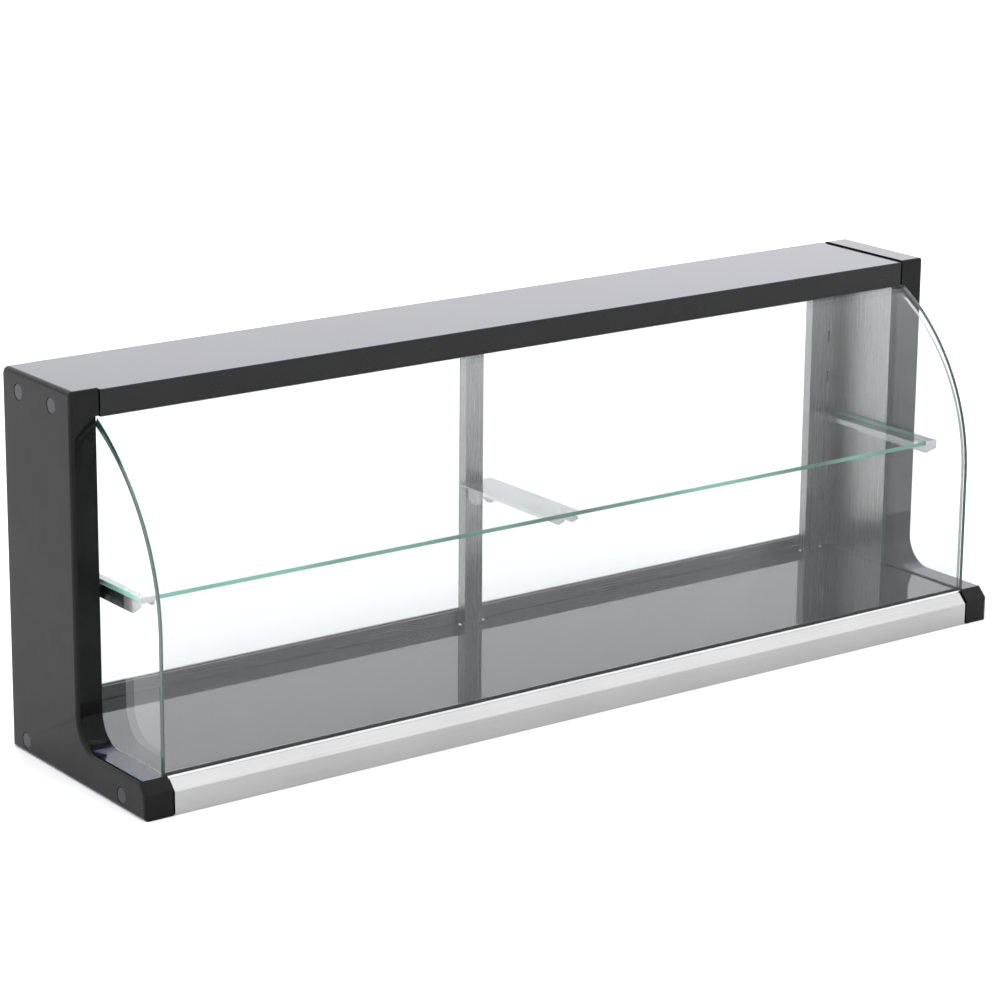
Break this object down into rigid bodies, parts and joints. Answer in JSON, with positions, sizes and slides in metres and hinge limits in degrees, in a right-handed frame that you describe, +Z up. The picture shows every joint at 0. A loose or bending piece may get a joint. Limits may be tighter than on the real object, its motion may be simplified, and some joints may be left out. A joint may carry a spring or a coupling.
{
  "type": "bakery display case",
  "caption": "Countertop bakery display case with curved glass front, glass shelf, black end caps and header, steel sill and sliding rear doors.",
  "frame": {"origin": "middle of the footprint, on the surface the case stands on", "axes": "+X along the case from its left end to its right end seen from the front, +Y from the curved glass towards the rear doors, +Z up"},
  "size_m": [1.2, 0.285, 0.431],
  "materials": {
    "cap_black": "satin black moulding",
    "header_black": "gloss black enamel on folded steel",
    "beam_black": "gloss black coated aluminium",
    "sill_steel": "brushed along its length",
    "deck_enamel": "high-gloss black enamel",
    "track_aluminium": "satin extrusion",
    "lining_steel": "brushed upright",
    "bracket_steel": "bright drawn finish",
    "channel_bright": "bright polished",
    "screw_steel": "bright zinc",
    "pull_aluminium": "satin anodised",
    "shelf_glass": "clear float glass with polished green edges",
    "door_glass": "clear float glass",
    "clear_glass": "clear float glass with polished green edges",
    "seal_rubber": "matt black"
  },
  "bodies": {
    "case": {"left_end_cap": "cap_black", "right_end_cap": "cap_black", "left_plug_caps": "cap_black", "right_plug_caps": "cap_black", "left_cap_screws": "screw_steel", "right_cap_screws": "screw_steel", "upper_front_rail": "header_black", "upper_rear_rail": "header_black", "lower_front_rail": "header_black", "lower_rear_rail": "header_black", "base_pan": "header_black", "deck_panel": "deck_enamel", "front_sill": "sill_steel", "front_glass_channel": "channel_bright", "front_glass_gasket": "seal_rubber", "front_glass": "clear_glass", "front_glass_top_seal": "seal_rubber", "left_side_glass": "clear_glass", "right_side_glass": "clear_glass", "front_header": "header_black", "soffit_panel": "header_black", "roof_panel": "header_black", "rear_header": "beam_black", "rear_track": "track_aluminium", "left_inner_panel": "lining_steel", "right_inner_panel": "lining_steel", "centre_post": "lining_steel", "left_rear_post": "lining_steel", "right_rear_post": "lining_steel", "left_slotted_standard": "lining_steel", "right_slotted_standard": "lining_steel", "post_base_screws": "screw_steel", "left_shelf_bracket": "bracket_steel", "centre_shelf_bracket": "bracket_steel", "right_shelf_bracket": "bracket_steel", "door_bumpers": "seal_rubber"},
    "shelf": {"shelf_glass": "shelf_glass"},
    "left_door": {"left_door_glass": "door_glass", "left_door_pull": "pull_aluminium"},
    "right_door": {"right_door_glass": "door_glass", "right_door_pull": "pull_aluminium"}
  },
  "joints": [
    {"name": "left_door_slide", "type": "slide", "parent": "case", "child": "left_door", "axis": [1, 0, 0], "range_m": [0, 0.53]},
    {"name": "right_door_slide", "type": "slide", "parent": "case", "child": "right_door", "axis": [-1, 0, 0], "range_m": [0, 0.53]},
    {"name": "shelf_lift", "type": "slide", "parent": "case", "child": "shelf", "axis": [0, 0, 1], "range_m": [0, 0.1]}
  ]
}
